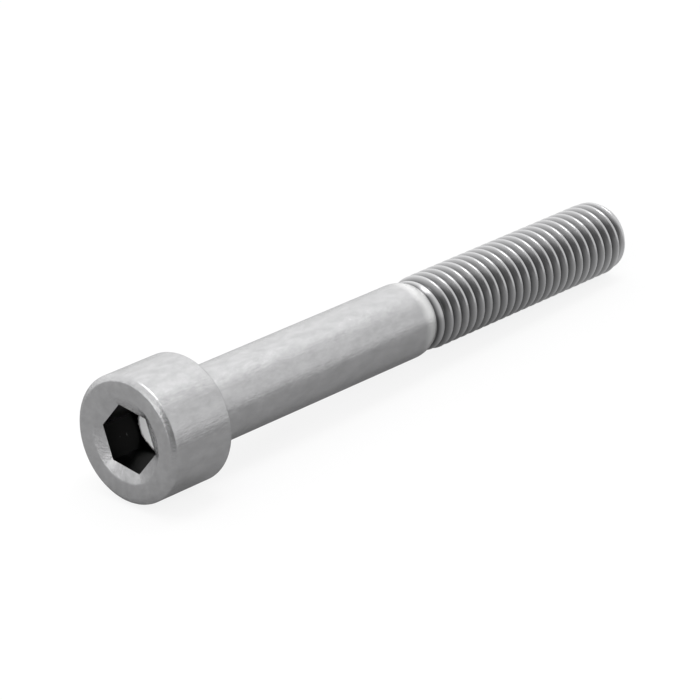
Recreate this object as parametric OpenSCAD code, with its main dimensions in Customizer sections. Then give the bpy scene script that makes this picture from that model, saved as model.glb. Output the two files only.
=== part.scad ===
// Hex socket cap screw with a smooth cylindrical head, a plain shank and a rolled coarse thread.
// All lengths are in millimetres and all angles in degrees.
// Each module draws its part of the screw upright on the screw's own axis: the bearing face under
// the head is at height 0, the head goes down from it and the tip points up.

/* [Head] */
// Diameter of the cylindrical head
head_d = 13; // [12:0.1:14]
// Height of the head, from its bearing face to its top
head_h = 8; // [7.6:0.1:9]
// Diameter of the flat ring on top of the head, inside its bevelled rim
face_d = 11.8; // [10:0.1:11.9]
// Height of the bevel round the top rim
rim_bevel_h = 0.4; // [0.2:0.05:0.8]
// Width and height of the small bevel round the bearing face
seat_bevel = 0.3; // [0.1:0.05:0.35]

/* [Hex socket] */
// Width of the hexagonal socket across its flats
socket_af = 6.05; // [5.6:0.01:6.5]
// Depth of the socket's flats, from the top of the head
socket_depth = 4.7; // [4.5:0.1:5.2]
// Depth of the shallow cone that the punch leaves in the socket's floor
socket_floor_h = 0.2; // [0.1:0.05:0.6]
// Diameter of the countersink round the socket's mouth
countersink_d = 8.7; // [7.6:0.1:9.6]
// Included angle of the countersink
countersink_angle = 120; // [90:5:130]
// Turn of the hexagon about the screw's axis
socket_turn = 2; // [0:1:60]

/* [Shank] */
// Length of the screw, from the bearing face to the tip
screw_len = 65; // [45:1:80]
// Diameter of the plain shank
shank_d = 7.95; // [7.8:0.01:8]
// Radius of the fillet where the shank meets the head
seat_fillet_r = 0.5; // [0.4:0.05:0.6]
// Length over which the end of the plain shank is rounded down
shank_edge_len = 1; // [0.6:0.1:1.5]
// How far the shank's radius drops there
shank_edge_drop = 0.35; // [0.1:0.05:0.35]

/* [Thread] */
// Outside diameter over the thread's crests
thread_d = 7.9; // [7.77:0.01:7.97]
// Distance from one crest to the next
pitch = 1.25; // [1:0.05:1.5]
// Length from the end of the plain shank to the tip
thread_len = 31.6; // [22:0.1:35]
// Length over which the thread rises to its full depth, beside the shank
runout_len = 2.4; // [1.3:0.1:4]
// Bare length of blank between the shank's end and the first trace of thread
neck_len = 0.3; // [0.1:0.05:0.6]
// Length of the bevelled tip
tip_len = 1.1; // [0.8:0.05:1.4]
// Diameter of the flat end of the tip
tip_d = 5.6; // [5:0.1:6]

/* [Hidden] */
$fn = 96;

// The coarse metric profile: 60 degree flanks, a crest flat of an eighth of the pitch, and a root
// that reaches 17/24 of the sharp triangle's height below the crest.
flank_angle = 60;
sharp_h = pitch / 2 / tan(flank_angle / 2);
thread_depth = sharp_h * 17 / 24;
crest_flat = pitch / 8;
flank_w = thread_depth * tan(flank_angle / 2);
root_flat = pitch - crest_flat - 2 * flank_w;
crest_r = thread_d / 2;
root_r = crest_r - thread_depth;
// The rolled blank is as thick as the thread's pitch diameter
blank_r = crest_r - sharp_h * 3 / 8;

// The thread's surface is a grid of points: one column at each step round the screw, and along
// each column the corners of the profile, pitch after pitch
steps = 36;
corner_z = [0, root_flat, root_flat + flank_w, root_flat + flank_w + crest_flat];
corner_r = [root_r, root_r, crest_r, crest_r];
corners = len(corner_z);

shank_len = screw_len - thread_len;
thread_overlap = 0.6;
thread_z0 = shank_len - thread_overlap;
runout_z = shank_len + neck_len;
// A pitch more at each end, so that every column starts and ends on the end faces
rows = corners * ceil((screw_len - thread_z0) / pitch + 2);

// The arc that touches the shank's side and ends at that drop
shank_edge_r = (shank_edge_len ^ 2 + shank_edge_drop ^ 2) / 2 / shank_edge_drop;

// The hexagon reaches this far from the axis at its corners
socket_corner_r = socket_af / 2 / cos(30);
countersink_h = countersink_d / 2 / tan(countersink_angle / 2);

// Lying on a flat surface, the screw rests on the edge of its head and on its last full crest.
// It is rolled so that it lies on flats of the meshed circles, and not on their corners
lie_roll = 35;
lie_tilt = atan((head_d - thread_d) / 2 / (screw_len - tip_len + seat_bevel));
lie_low_x = -face_d / 2 * sin(lie_tilt) - head_h * cos(lie_tilt);
lie_high_x = tip_d / 2 * sin(lie_tilt) + screw_len * cos(lie_tilt);
lie_height = head_d / 2 * cos(lie_tilt) - seat_bevel * sin(lie_tilt);

// How far from the axis the thread may reach at a height, inside the bevelled tip
function tip_r(z) = tip_d / 2 + (crest_r - tip_d / 2) * (screw_len - z) / tip_len;

// How much of its depth the thread has at a height: none at the neck, all past the run-out
function rise(z) = max(0, min(1, (z - runout_z) / runout_len));

// One point of the thread's surface, at a step round the screw and a row along it
function thread_point(step, row) =
    let (
        turn = 360 * step / steps,
        helix_z = thread_z0 + pitch * (step / steps + floor(row / corners) - 1),
        z = max(thread_z0, min(screw_len, helix_z + corner_z[row % corners])),
        full_r = blank_r + rise(z) * (corner_r[row % corners] - blank_r),
        r = min(full_r, tip_r(z))
    )
    [r * cos(turn), r * sin(turn), z];

// Index of a grid point. One step past the last is the first column again, a pitch further along
function index(step, row) =
    step < steps
        ? step * rows + row
        : min(row + corners, rows - 1);

// The thread with its root, as one closed body with a flat face at each end
module thread() {
    points = [for (step = [0:steps - 1]) for (row = [0:rows - 1]) thread_point(step, row)];
    sides = [
        for (step = [0:steps - 1])
            for (row = [0:rows - 2])
                let (
                    low = index(step, row),
                    high = index(step, row + 1),
                    next_low = index(step + 1, row),
                    next_high = index(step + 1, row + 1)
                )
                    for (face = [[low, high, next_high], [low, next_high, next_low]])
                        if (points[face[0]] != points[face[1]]
                            && points[face[1]] != points[face[2]]
                            && points[face[2]] != points[face[0]])
                            face
    ];
    shank_face = [for (step = [0:steps - 1]) index(step, 0)];
    tip_face = [for (step = [steps - 1:-1:0]) index(step, rows - 1)];
    polyhedron(points = points, faces = concat(sides, [shank_face, tip_face]));
}

// The head's outline, from the axis to its side, with the bevels of the rim and the seat
module head_outline() {
    polygon([
        [0, -head_h],
        [face_d / 2, -head_h],
        [head_d / 2, rim_bevel_h - head_h],
        [head_d / 2, -seat_bevel],
        [head_d / 2 - seat_bevel, 0],
        [0, 0]
    ]);
}

// The plain shank's outline, with the fillet under the head and a rounded end
module shank_outline() {
    shank_r = shank_d / 2;
    square([shank_r, shank_len - shank_edge_len]);
    square([shank_r - shank_edge_drop, shank_len]);
    intersection() {
        translate([shank_r - shank_edge_r, shank_len - shank_edge_len])
            circle(r = shank_edge_r);
        square([shank_r, shank_len]);
    }
    difference() {
        square([shank_r + seat_fillet_r, seat_fillet_r]);
        translate([shank_r + seat_fillet_r, seat_fillet_r])
            circle(r = seat_fillet_r);
    }
}

// What the punch takes out of the head: the hexagon, its floor's cone and the countersink
module socket() {
    translate([0, 0, -head_h])
        rotate([0, 0, socket_turn]) {
            translate([0, 0, -1])
                cylinder(r = socket_corner_r, h = socket_depth + 1, $fn = 6);
            translate([0, 0, socket_depth])
                cylinder(d1 = socket_af, d2 = 0, h = socket_floor_h);
            cylinder(d1 = countersink_d, d2 = 0, h = countersink_h);
        }
}

module cap_screw() {
    color([0.72, 0.72, 0.73])
        translate([-(lie_low_x + lie_high_x) / 2, 0, lie_height])
            rotate([0, 90 + lie_tilt, 0])
                rotate([0, 0, lie_roll])
                    difference() {
                        union() {
                            rotate_extrude()
                                head_outline();
                            rotate_extrude()
                                shank_outline();
                            thread();
                        }
                        socket();
                    }
}

cap_screw();
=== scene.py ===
"""A hex socket cap screw of stainless steel, M8 x 65, lying on a pale floor.

Lengths of the screw are in millimetres along its own axis, with the bearing face under the head
at height 0, the head below it and the tip above it.
"""

import math

import bmesh
import bpy
from mathutils import Matrix, Vector


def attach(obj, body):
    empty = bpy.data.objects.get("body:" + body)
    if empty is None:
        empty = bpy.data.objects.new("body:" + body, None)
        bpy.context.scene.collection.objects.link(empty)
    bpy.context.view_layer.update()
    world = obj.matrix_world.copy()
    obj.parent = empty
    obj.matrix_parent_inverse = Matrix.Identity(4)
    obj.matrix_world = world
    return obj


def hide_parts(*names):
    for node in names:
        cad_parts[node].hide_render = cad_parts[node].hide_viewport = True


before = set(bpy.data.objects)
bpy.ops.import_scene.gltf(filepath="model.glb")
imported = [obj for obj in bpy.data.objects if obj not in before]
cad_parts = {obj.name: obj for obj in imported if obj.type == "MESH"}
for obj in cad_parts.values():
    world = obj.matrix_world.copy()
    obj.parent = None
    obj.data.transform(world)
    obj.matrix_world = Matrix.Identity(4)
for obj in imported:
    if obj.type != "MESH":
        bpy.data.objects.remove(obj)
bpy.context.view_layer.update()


# Head and plain shank. The blank is cold formed from stainless wire: the head is upset in a die,
# which leaves its side smooth, and the shank is the wire's own surface. Head, shank and thread
# are one piece of steel.
MM = 0.001
TOLERANCE = 1e-3
TURNS = 96
SHARP_ANGLE = math.radians(28)

HEAD_R = 6.5
HEAD_H = 8.0
FACE_R = 5.9
RIM_BEVEL_H = 0.4
SEAT_BEVEL = 0.3
MOUTH_R = 4.35
SHANK_R = 3.975
SHANK_LEN = 33.4
SEAT_FILLET_R = 0.5
# The shank's end is rounded off over this length by this drop, and closed inside the thread
SHANK_EDGE_LEN = 1.5
SHANK_EDGE_DROP = 0.35
SHANK_END_R = 3.3
THREAD_R = 3.95
SCREW_LEN = 65.0
# The last full crest ends this far before the tip
CREST_END = 1.1

# The screw lies on the edge of its head and on its last full crest. The centre of its bearing
# face is then here in the frame
SEAT_X = -28.416028
SEAT_Z = 6.482972
TILT = math.atan((HEAD_R - THREAD_R) / (SCREW_LEN - CREST_END + SEAT_BEVEL))
LIE = Matrix.Translation((SEAT_X * MM, 0, SEAT_Z * MM)) @ Matrix.Rotation(
    math.pi / 2 + TILT, 4, "Y"
)
# A corner of the hexagon is turned this far about the screw's axis
SOCKET_TURN = math.radians(37)


def arc(centre, radius, start, end, segments):
    """Points of an arc in the profile's plane, as (radius, height), from start to end degrees."""
    points = []
    for i in range(segments + 1):
        angle = math.radians(start + (end - start) * i / segments)
        points.append(
            (centre[0] + radius * math.cos(angle), centre[1] + radius * math.sin(angle))
        )
    return points


def profile(bm, points, angle):
    """A chain of edges through the points, in a plane through the screw's axis."""
    verts = [
        bm.verts.new((r * math.cos(angle), r * math.sin(angle), z)) for r, z in points
    ]
    edges = [bm.edges.new(pair) for pair in zip(verts, verts[1:])]
    return verts, edges


def loop_edges(bm, radius, height):
    """The edges of the ring with that radius at that height."""

    def on_it(v):
        return (
            abs(math.hypot(v.co.x, v.co.y) - radius) < TOLERANCE
            and abs(v.co.z - height) < TOLERANCE
        )

    return [e for e in bm.edges if all(on_it(v) for v in e.verts)]


def finish_piece(bm, name, *materials):
    """Lays the finished mesh down in the frame, in metres, as a piece of the screw."""
    bmesh.ops.recalc_face_normals(bm, faces=bm.faces[:])
    bmesh.ops.scale(bm, vec=(MM, MM, MM), verts=bm.verts[:])
    bmesh.ops.transform(bm, matrix=LIE, verts=bm.verts[:])
    mesh = bpy.data.meshes.new(name)
    bm.to_mesh(mesh)
    bm.free()
    mesh.shade_smooth()
    mesh.set_sharp_from_angle(angle=SHARP_ANGLE)
    piece = bpy.data.objects.new(name, mesh)
    bpy.context.scene.collection.objects.link(piece)
    weighted = piece.modifiers.new("normals", "WEIGHTED_NORMAL")
    weighted.keep_sharp = True
    for material in materials:
        mesh.materials.append(material)
    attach(piece, "root")
    return piece


def linear(colour):
    """Linear RGBA of an sRGB hex colour."""
    values = [int(colour[i : i + 2], 16) / 255 for i in (1, 3, 5)]
    return (
        *(v / 12.92 if v <= 0.04045 else ((v + 0.055) / 1.055) ** 2.4 for v in values),
        1.0,
    )


def add(material, kind, settings=None, **links):
    """Adds a node with its settings.

    A link is given as input=(node, output), a value as input=value. An input is named, or
    numbered as _0, _1 and so on.
    """
    tree = material.node_tree
    node = tree.nodes.new(kind)
    for name, value in (settings or {}).items():
        setattr(node, name, value)
    for name, value in links.items():
        key = int(name[1:]) if name[0] == "_" else name.replace("_", " ")
        if isinstance(value, tuple) and isinstance(value[0], bpy.types.Node):
            tree.links.new(value[0].outputs[value[1]], node.inputs[key])
        else:
            node.inputs[key].default_value = value
    return node


def ramp(node, *stops):
    """Sets a colour ramp's stops, each a position and an sRGB hex colour."""
    elements = node.color_ramp.elements
    while len(elements) > 1:
        elements.remove(elements[-1])
    for i, (position, colour) in enumerate(stops):
        element = elements[0] if i == 0 else elements.new(position)
        element.position = position
        element.color = linear(colour)
    return node


def new_material(name):
    """An empty material, and the screw's own coordinates in millimetres, Z along its axis."""
    material = bpy.data.materials.new(name)
    material.use_nodes = True
    material.node_tree.nodes.clear()
    place = add(material, "ShaderNodeTexCoord")
    along = add(
        material,
        "ShaderNodeMapping",
        {"vector_type": "TEXTURE"},
        Vector=(place, "Object"),
        Location=LIE.to_translation(),
        Rotation=LIE.to_euler(),
        Scale=(MM, MM, MM),
    )
    return material, along


def scaled(material, along, scale):
    """The screw's coordinates, stretched for one pattern."""
    return add(
        material,
        "ShaderNodeVectorMath",
        {"operation": "MULTIPLY"},
        _0=(along, 0),
        _1=scale,
    )


# Satin stainless steel, cold formed and tumbled: an even soft shine, with faint cloudy patches
# about 1 mm wide, drawing lines along the wire, and small dents from the tumbling
DENT_H = 0.08 * MM
LINE_SHARE = 0.5
satin, along = new_material("satin_stainless_steel")
patches = add(
    satin,
    "ShaderNodeTexNoise",
    Vector=(scaled(satin, along, (1, 1, 0.5)), 0),
    Scale=1.1,
    Detail=5.0,
    Roughness=0.6,
)
lines = add(
    satin,
    "ShaderNodeTexNoise",
    Vector=(scaled(satin, along, (1, 1, 0.06)), 0),
    Scale=5.0,
    Detail=3.0,
    Roughness=0.6,
)
dents = add(
    satin,
    "ShaderNodeTexNoise",
    Vector=(scaled(satin, along, (1, 1, 0.8)), 0),
    Scale=3.2,
    Detail=5.0,
    Roughness=0.72,
)
colour = ramp(
    add(satin, "ShaderNodeValToRGB", Fac=(patches, 0)),
    (0.34, "#C6C6C7"),
    (0.66, "#D3D3D4"),
)
# A painted highlight brightens the shank's rounded end, between these distances before its end
END_HIGHLIGHT_START = 2.2
END_HIGHLIGHT_FULL = 1.0
place = add(satin, "ShaderNodeSeparateXYZ", Vector=(along, 0))
painted_end_highlight = add(
    satin,
    "ShaderNodeMapRange",
    {"interpolation_type": "SMOOTHSTEP"},
    Value=(place, "Z"),
    From_Min=SHANK_LEN - END_HIGHLIGHT_START,
    From_Max=SHANK_LEN - END_HIGHLIGHT_FULL,
    To_Min=0.0,
    To_Max=1.0,
)
# Painted highlight on the shank's rounded end, near white
colour = add(
    satin,
    "ShaderNodeMix",
    {"data_type": "RGBA"},
    Factor=(painted_end_highlight, 0),
    _6=(colour, 0),
    _7=linear("#F4F4F4"),
)
rough = add(
    satin,
    "ShaderNodeMapRange",
    Value=(patches, 0),
    From_Min=0.3,
    From_Max=0.7,
    To_Min=0.16,
    To_Max=0.25,
)
relief = add(
    satin,
    "ShaderNodeMath",
    {"operation": "MULTIPLY_ADD"},
    _0=(lines, 0),
    _1=LINE_SHARE,
    _2=(dents, 0),
)
waves = add(
    satin, "ShaderNodeBump", Strength=0.5, Distance=DENT_H, Height=(relief, 0)
)
steel = add(
    satin,
    "ShaderNodeBsdfPrincipled",
    Base_Color=(colour, 2),
    Metallic=1.0,
    Roughness=(rough, 0),
    Normal=(waves, 0),
)
add(satin, "ShaderNodeOutputMaterial", Surface=(steel, 0))

bm = bmesh.new()
# The arc that touches the shank's side and has dropped by that much at its end
edge_r = (SHANK_EDGE_LEN**2 + SHANK_EDGE_DROP**2) / (2 * SHANK_EDGE_DROP)
edge_angle = math.degrees(math.asin(SHANK_EDGE_LEN / edge_r))
outline = [
    (MOUTH_R, -HEAD_H),
    (FACE_R, -HEAD_H),
    (HEAD_R, RIM_BEVEL_H - HEAD_H),
    (HEAD_R, -SEAT_BEVEL),
    (HEAD_R - SEAT_BEVEL, 0),
    *arc((SHANK_R + SEAT_FILLET_R, SEAT_FILLET_R), SEAT_FILLET_R, 270, 180, 6),
    *arc((SHANK_R - edge_r, SHANK_LEN - SHANK_EDGE_LEN), edge_r, 0, edge_angle, 8),
    (SHANK_END_R, SHANK_LEN),
]
verts, edges = profile(bm, outline, SOCKET_TURN)
bmesh.ops.spin(
    bm,
    geom=verts + edges,
    cent=(0, 0, 0),
    axis=(0, 0, 1),
    dvec=(0, 0, 0),
    angle=2 * math.pi,
    steps=TURNS,
    use_merge=True,
)
bmesh.ops.contextual_create(bm, geom=loop_edges(bm, SHANK_END_R, SHANK_LEN))


# Hex socket, in the same piece. A punch drives it into the cold head and leaves a countersunk
# mouth, six flat walls and a shallow cone for a floor.
SOCKET_AF = 6.05
SOCKET_DEPTH = 4.7
SOCKET_FLOOR_H = 0.2
# The cone ends in a small flat, two thirds of the way to its point
FLOOR_FLAT_R = 1.0
# The hexagon's straight edges lie this deep, at the foot of the countersink
MOUTH_H = 0.5


def hexagon_r(v):
    """How far the hexagon's side is from the axis in the direction of a vertex."""
    angle = (math.atan2(v.co.y, v.co.x) - SOCKET_TURN) % (math.pi / 3) - math.pi / 6
    return SOCKET_AF / 2 / math.cos(angle)


def extrude_ring(bm, ring, place):
    """Extrudes a ring of edges. place() gives each new vertex its radius and height."""
    made = bmesh.ops.extrude_edge_only(bm, edges=ring)["geom"]
    for v in [g for g in made if isinstance(g, bmesh.types.BMVert)]:
        r, z = place(v)
        v.co.xy = v.co.xy.normalized() * r
        v.co.z = z
    return [g for g in made if isinstance(g, bmesh.types.BMEdge)]


mouth = loop_edges(bm, MOUTH_R, -HEAD_H)
ring = extrude_ring(bm, mouth, lambda v: (hexagon_r(v), MOUTH_H - HEAD_H))
before = set(bm.faces)
ring = extrude_ring(bm, ring, lambda v: (hexagon_r(v), SOCKET_DEPTH - HEAD_H))
ring = extrude_ring(
    bm,
    ring,
    lambda v: (FLOOR_FLAT_R, SOCKET_DEPTH + SOCKET_FLOOR_H * 2 / 3 - HEAD_H),
)
bmesh.ops.contextual_create(bm, geom=ring)
for face in set(bm.faces) - before:
    face.material_index = 1

# The head's edges are worn round, each by its own small width
WORN_EDGES = (
    (FACE_R, -HEAD_H, 0.1),
    (HEAD_R, RIM_BEVEL_H - HEAD_H, 0.16),
    (MOUTH_R, -HEAD_H, 0.14),
    (HEAD_R, -SEAT_BEVEL, 0.12),
    (HEAD_R - SEAT_BEVEL, 0, 0.06),
)
for radius, height, worn_w in WORN_EDGES:
    bmesh.ops.bevel(
        bm,
        geom=loop_edges(bm, radius, height),
        offset=worn_w,
        offset_type="OFFSET",
        segments=3,
        profile=0.5,
        affect="EDGES",
        material=-1,
    )

# Punched stainless steel: the walls are painted near black, as painted shade in the deep socket,
# and shine darkly; the floor is pale, matt and dull. The change comes at about the hexagon's
# flats, unevenly
WALL_SHADE_START_R = 2.9
WALL_SHADE_FULL_R = 3.15
WALL_SHADE_UNEVENNESS = 0.4
punched, along = new_material("punched_stainless_steel")
radius = add(
    punched,
    "ShaderNodeVectorMath",
    {"operation": "LENGTH"},
    _0=(scaled(punched, along, (1, 1, 0)), 0),
)
border_noise = add(punched, "ShaderNodeTexNoise", Vector=(along, 0), Scale=2.0, Detail=4.0)
edge = add(
    punched,
    "ShaderNodeMath",
    {"operation": "MULTIPLY_ADD"},
    _0=(border_noise, 0),
    _1=WALL_SHADE_UNEVENNESS,
    _2=(radius, "Value"),
)
on_walls = add(
    punched,
    "ShaderNodeMapRange",
    Value=(edge, 0),
    From_Min=WALL_SHADE_START_R,
    From_Max=WALL_SHADE_FULL_R,
    To_Min=0.0,
    To_Max=1.0,
)
# Painted shade: a pale floor, and walls painted near black
colour = ramp(
    add(punched, "ShaderNodeValToRGB", Fac=(on_walls, 0)),
    (0.0, "#F2F2F2"),
    (1.0, "#1A1A1A"),
)
rough = add(
    punched,
    "ShaderNodeMapRange",
    Value=(on_walls, 0),
    From_Min=0.0,
    From_Max=1.0,
    To_Min=0.7,
    To_Max=0.3,
)
steel = add(
    punched,
    "ShaderNodeBsdfPrincipled",
    Base_Color=(colour, 0),
    Metallic=(on_walls, 0),
    Roughness=(rough, 0),
)
add(punched, "ShaderNodeOutputMaterial", Surface=(steel, 0))
blank = finish_piece(bm, "head_and_shank", satin, punched)
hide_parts("cap_screw")


# Thread. Flat dies roll the right-hand thread into the blank: the metal is pushed out of the
# round roots into the crests, which stay rounded. The ridge dies out beside the plain shank, and
# the last groove dies out in the rounded tip.
PITCH = 1.25
HALF_ANGLE = math.radians(30)
# Depth as a share of the sharp triangle's height, and crest as a share of the pitch
DEPTH_SHARE = 0.62
CREST_SHARE = 0.2
# Width of the rounding along crests and roots
ROUND_W = 0.11
THREAD_TURN = math.radians(35)
# The thread starts inside the plain shank's end
OVERLAP = 0.6
# The ridge rises over this length, from this share of its full height
RUNOUT_LEN = 1.9
RUNOUT_START = 0.25
TIP_LEN = 1.3
TIP_R = 2.8
# Spacing below which the seam's vertices are one
SEAM_GAP = 5e-3
CUT_GAP = 1e-5

sharp_h = PITCH / 2 / math.tan(HALF_ANGLE)
depth = sharp_h * DEPTH_SHARE
root_r = THREAD_R - depth
# The blank is as thick as the thread's pitch diameter
blank_r = THREAD_R - sharp_h * 3 / 8
flank = depth * math.tan(HALF_ANGLE)
crest = PITCH * CREST_SHARE
root = PITCH - crest - 2 * flank
thread_start = SHANK_LEN - OVERLAP

bm = bmesh.new()
start = thread_start - 2 * PITCH
outline = []
for turn in range(math.ceil((SCREW_LEN - start) / PITCH) + 2):
    z = start + turn * PITCH
    outline += [
        (root_r, z),
        (root_r, z + root),
        (THREAD_R, z + root + flank),
        (THREAD_R, z + root + flank + crest),
    ]
verts, edges = profile(bm, outline, THREAD_TURN)
bmesh.ops.spin(
    bm,
    geom=verts + edges,
    cent=(0, 0, 0),
    axis=(0, 0, 1),
    dvec=(0, 0, PITCH / TURNS),
    angle=2 * math.pi,
    steps=TURNS,
)
bmesh.ops.remove_doubles(bm, verts=bm.verts[:], dist=SEAM_GAP)


def on_helix(e):
    """Whether an edge runs round the screw, and not along its profile."""
    a, b = (v.co for v in e.verts)
    return (
        abs(math.hypot(a.x, a.y) - math.hypot(b.x, b.y)) < CUT_GAP
        and abs(a.z - b.z) < 0.5 * crest
    )


helices = [e for e in bm.edges if on_helix(e) and len(e.link_faces) == 2]
bmesh.ops.bevel(
    bm,
    geom=helices,
    offset=ROUND_W,
    offset_type="OFFSET",
    segments=4,
    profile=0.5,
    affect="EDGES",
    material=-1,
    clamp_overlap=True,
)
# The screw's ends are cut square, and a cut where the tip starts gives it its own vertices
for height, direction, outer in (
    (thread_start, -1, True),
    (SCREW_LEN, 1, True),
    (SCREW_LEN - TIP_LEN, 1, False),
):
    bmesh.ops.bisect_plane(
        bm,
        geom=bm.verts[:] + bm.edges[:] + bm.faces[:],
        dist=CUT_GAP,
        plane_co=(0, 0, height),
        plane_no=(0, 0, direction),
        clear_outer=outer,
    )
for v in bm.verts:
    r = math.hypot(v.co.x, v.co.y)
    rise = max(RUNOUT_START, min(1, (v.co.z - SHANK_LEN) / RUNOUT_LEN))
    rise = min(rise, max(RUNOUT_START, (SCREW_LEN - v.co.z) / TIP_LEN))
    left = max(0, min(1, (SCREW_LEN - v.co.z) / TIP_LEN))
    tip = TIP_R + (THREAD_R - TIP_R) * math.sqrt(1 - (1 - left) ** 2)
    v.co.xy *= min(blank_r + rise * (r - blank_r), tip) / r
for height in (thread_start, SCREW_LEN):
    ends = [
        e
        for e in bm.edges
        if e.is_boundary and all(abs(v.co.z - height) < TOLERANCE for v in e.verts)
    ]
    bmesh.ops.contextual_create(bm, geom=ends)

# Rolled stainless steel, with painted shade in the thread's grooves: the colour darkens from
# crest to root as painted shade. It goes by the height between root and crest, as the run-out and
# the tip leave it, and the painted shade is lifted off the tip's flat end, which is bright
GRAIN_H = 0.03 * MM
END_START = 0.05
END_FULL = 0.01
rolled, along = new_material("rolled_stainless_steel")
grain = add(
    rolled,
    "ShaderNodeTexNoise",
    Vector=(along, 0),
    Scale=3.0,
    Detail=3.0,
    Roughness=0.6,
)
flat = scaled(rolled, along, (1, 1, 0))
radius = add(
    rolled, "ShaderNodeVectorMath", {"operation": "LENGTH"}, _0=(flat, 0)
)
place = add(rolled, "ShaderNodeSeparateXYZ", Vector=(along, 0))
rise = add(
    rolled,
    "ShaderNodeMapRange",
    Value=(place, "Z"),
    From_Min=SHANK_LEN + RUNOUT_START * RUNOUT_LEN,
    From_Max=SHANK_LEN + RUNOUT_LEN,
    To_Min=RUNOUT_START,
    To_Max=1.0,
)
middle_r = add(
    rolled,
    "ShaderNodeMapRange",
    Value=(place, "Z"),
    From_Min=SCREW_LEN - TIP_LEN,
    From_Max=SCREW_LEN,
    To_Min=blank_r,
    To_Max=blank_r - (THREAD_R - TIP_R),
)
above = add(
    rolled,
    "ShaderNodeMath",
    {"operation": "SUBTRACT"},
    _0=(radius, "Value"),
    _1=(middle_r, 0),
)
share = add(
    rolled, "ShaderNodeMath", {"operation": "DIVIDE"}, _0=(above, 0), _1=(rise, 0)
)
level = add(
    rolled,
    "ShaderNodeMapRange",
    Value=(share, 0),
    From_Min=root_r - blank_r,
    From_Max=THREAD_R - blank_r,
    To_Min=0.0,
    To_Max=1.0,
)
end = add(
    rolled,
    "ShaderNodeMapRange",
    Value=(place, "Z"),
    From_Min=SCREW_LEN - END_START,
    From_Max=SCREW_LEN - END_FULL,
    To_Min=0.0,
    To_Max=0.9,
)
painted_shade_lift = add(
    rolled, "ShaderNodeMath", {"operation": "MAXIMUM"}, _0=(level, 0), _1=(end, 0)
)
# Painted shade: dark at the roots, bright at the crests
colour = ramp(
    add(rolled, "ShaderNodeValToRGB", Fac=(painted_shade_lift, 0)),
    (0.0, "#5C5C5D"),
    (0.45, "#929293"),
    (0.8, "#B8B8B9"),
    (1.0, "#D6D6D7"),
)
waves = add(
    rolled, "ShaderNodeBump", Strength=0.2, Distance=GRAIN_H, Height=(grain, 0)
)
steel = add(
    rolled,
    "ShaderNodeBsdfPrincipled",
    Base_Color=(colour, 0),
    Metallic=1.0,
    Roughness=0.3,
    Normal=(waves, 0),
)
add(rolled, "ShaderNodeOutputMaterial", Surface=(steel, 0))
finish_piece(bm, "rolled_thread", rolled)


# Floor. Plain studio paper, wide enough to fill every view. The camera sees it glow a plain
# white with the screw's soft shadow on it, and the steel mirrors it grey in front of the screw
# and paler behind.
FLOOR_HALF = 4.0
GLOW_SEEN = 0.84
# X + Y grows away from the camera: the floor pales between these two sums, in metres
BEHIND_START = 0.012
BEHIND_FULL = 0.06
BEHIND_GLOW = 0.65
# A faint glow sets in on the last stretch in front of the screw
FRONT_START = -0.03
FRONT_GLOW = 0.09

bm = bmesh.new()
bmesh.ops.create_grid(bm, x_segments=1, y_segments=1, size=FLOOR_HALF)
mesh = bpy.data.meshes.new("floor")
bm.to_mesh(mesh)
bm.free()
floor = bpy.data.objects.new("floor", mesh)
bpy.context.scene.collection.objects.link(floor)

# Pale studio paper: matt and even to the camera. Reflections see it grey, with a painted glow
# behind the screw and a faint one in front
paper = bpy.data.materials.new("pale_studio_paper")
paper.use_nodes = True
paper.node_tree.nodes.clear()
light = add(paper, "ShaderNodeLightPath")
seen = add(
    paper,
    "ShaderNodeMath",
    {"operation": "MULTIPLY"},
    _0=(light, "Is Camera Ray"),
    _1=GLOW_SEEN,
)
mirrored = add(
    paper,
    "ShaderNodeMath",
    {"operation": "ADD"},
    _0=(light, "Is Glossy Ray"),
    _1=(light, "Is Transmission Ray"),
)
spot = add(paper, "ShaderNodeTexCoord")
place = add(paper, "ShaderNodeSeparateXYZ", Vector=(spot, "Object"))
away = add(
    paper, "ShaderNodeMath", {"operation": "ADD"}, _0=(place, "X"), _1=(place, "Y")
)
behind = add(
    paper,
    "ShaderNodeMapRange",
    Value=(away, 0),
    From_Min=BEHIND_START,
    From_Max=BEHIND_FULL,
    To_Min=0.0,
    To_Max=BEHIND_GLOW,
)
front = add(
    paper,
    "ShaderNodeMapRange",
    Value=(place, "Y"),
    From_Min=FRONT_START,
    From_Max=0.0,
    To_Min=0.0,
    To_Max=FRONT_GLOW,
)
both = add(
    paper, "ShaderNodeMath", {"operation": "ADD"}, _0=(behind, 0), _1=(front, 0)
)
share = add(
    paper,
    "ShaderNodeMath",
    {"operation": "MULTIPLY_ADD"},
    _0=(mirrored, 0),
    _1=(both, 0),
    _2=(seen, 0),
)
tone = add(
    paper,
    "ShaderNodeMix",
    {"data_type": "RGBA"},
    Factor=(light, "Is Camera Ray"),
    _6=linear("#949494"),
    _7=linear("#F4F4F4"),
)
matt = add(paper, "ShaderNodeBsdfDiffuse", Color=(tone, 2))
glow = add(paper, "ShaderNodeEmission", Color=linear("#FFFFFF"), Strength=1.0)
mixed = add(
    paper, "ShaderNodeMixShader", Fac=(share, 0), _1=(matt, 0), _2=(glow, 0)
)
add(paper, "ShaderNodeOutputMaterial", Surface=(mixed, 0))
mesh.materials.append(paper)


# Light. A white studio: an even pale room with a dark side behind the camera, which the bevel of
# the head's rim mirrors, and a softbox for each bright band on the steel.
ROOM_PALE = 0.75
ROOM_DARK = 0.1
DARK_SIDE = (-0.86, -0.49, 0.14)
# Cosines of the angles from there at which the room is pale again, and fully dark
PALE_COS = 0.84
DARK_COS = 0.96

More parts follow.
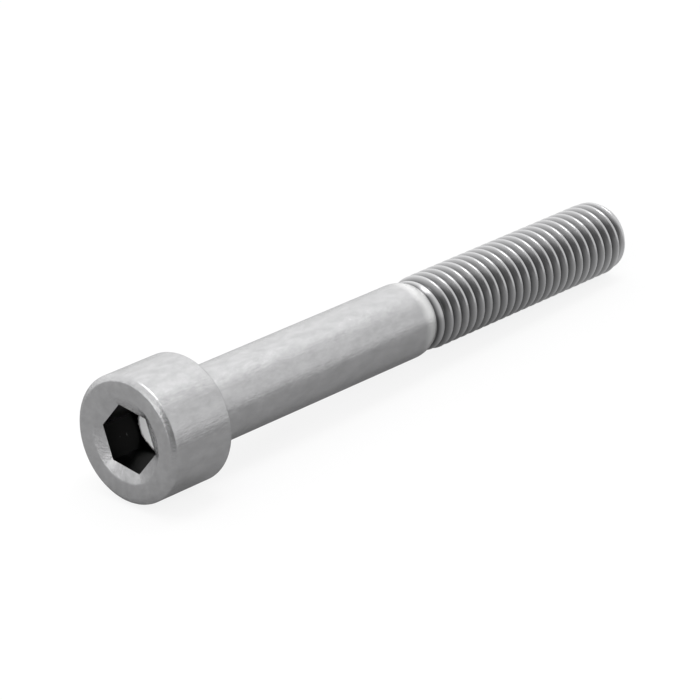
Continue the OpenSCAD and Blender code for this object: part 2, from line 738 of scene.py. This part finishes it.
world = bpy.data.worlds.new("studio")
bpy.context.scene.world = world
world.use_nodes = True
world.node_tree.nodes.clear()
aim = add(world, "ShaderNodeTexCoord")
facing = add(
    world,
    "ShaderNodeVectorMath",
    {"operation": "DOT_PRODUCT"},
    _0=(aim, "Generated"),
    _1=DARK_SIDE,
)
room = add(
    world,
    "ShaderNodeMapRange",
    {"interpolation_type": "SMOOTHSTEP"},
    Value=(facing, "Value"),
    From_Min=PALE_COS,
    From_Max=DARK_COS,
    To_Min=ROOM_PALE,
    To_Max=ROOM_DARK,
)
sky = add(world, "ShaderNodeBackground", Color=linear("#FFFFFF"), Strength=(room, 0))
add(world, "ShaderNodeOutputWorld", Surface=(sky, 0))


def softbox(name, place, aim, width, height, radiance):
    """An area light at a place, turned to a point, of an even brightness."""
    lamp = bpy.data.lights.new(name, "AREA")
    lamp.shape = "RECTANGLE"
    lamp.size = width
    lamp.size_y = height
    lamp.energy = radiance * width * height * math.pi
    box = bpy.data.objects.new(name, lamp)
    box.location = place
    box.rotation_mode = "QUATERNION"
    box.rotation_quaternion = (Vector(aim) - Vector(place)).to_track_quat("-Z", "Y")
    bpy.context.scene.collection.objects.link(box)
    return box


MIDDLE = (0, 0, 0)
SOCKET = (-0.03, 0, 0.006)
# Wide and soft from behind and above, for the upper side of head and shank
softbox("overhead", (0.15, 0.55, 0.75), MIDDLE, 2.4, 2.0, 0.34)
# A narrow band beyond the tip, along head and shank
softbox("strip", (0.68, -0.17, 0.72), MIDDLE, 0.16, 0.9, 0.3)
# Beyond the head, for its countersink and rim
softbox("side", (-1.0, 0.1, 0.3), MIDDLE, 0.4, 0.3, 1.5)
# Straight above, for the short highlights on the thread's crests
softbox("crests", (0.0, -0.04, 1.0), MIDDLE, 0.9, 0.3, 3.0)
# Small and strong, into the socket alone: the steel doesn't mirror it
socket_lamp = softbox("socket", (-0.92, -0.3, 0.32), SOCKET, 0.2, 0.2, 30.0)
socket_lamp.visible_glossy = False


# Camera. It stands at the photograph's viewing angle, with the lens that the screw's own
# perspective gives.
CAMERA_AT = (-0.2764285, -0.2377493, 0.1758555)

lens = bpy.data.cameras.new("camera")
lens.lens = 205.69
lens.sensor_width = 36.0
lens.clip_start = 0.01
lens.clip_end = 20.0
camera = bpy.data.objects.new("camera", lens)
bpy.context.scene.collection.objects.link(camera)
right = Vector((0.657586, -0.753379, -0.000648))
up = Vector((0.322665, 0.280860, 0.903883))
back = right.cross(up)
turn = Matrix((right, up, back)).transposed().to_4x4()
camera.matrix_world = Matrix.Translation(CAMERA_AT) @ turn
bpy.context.scene.camera = camera

bpy.context.scene.view_settings.view_transform = "Standard"
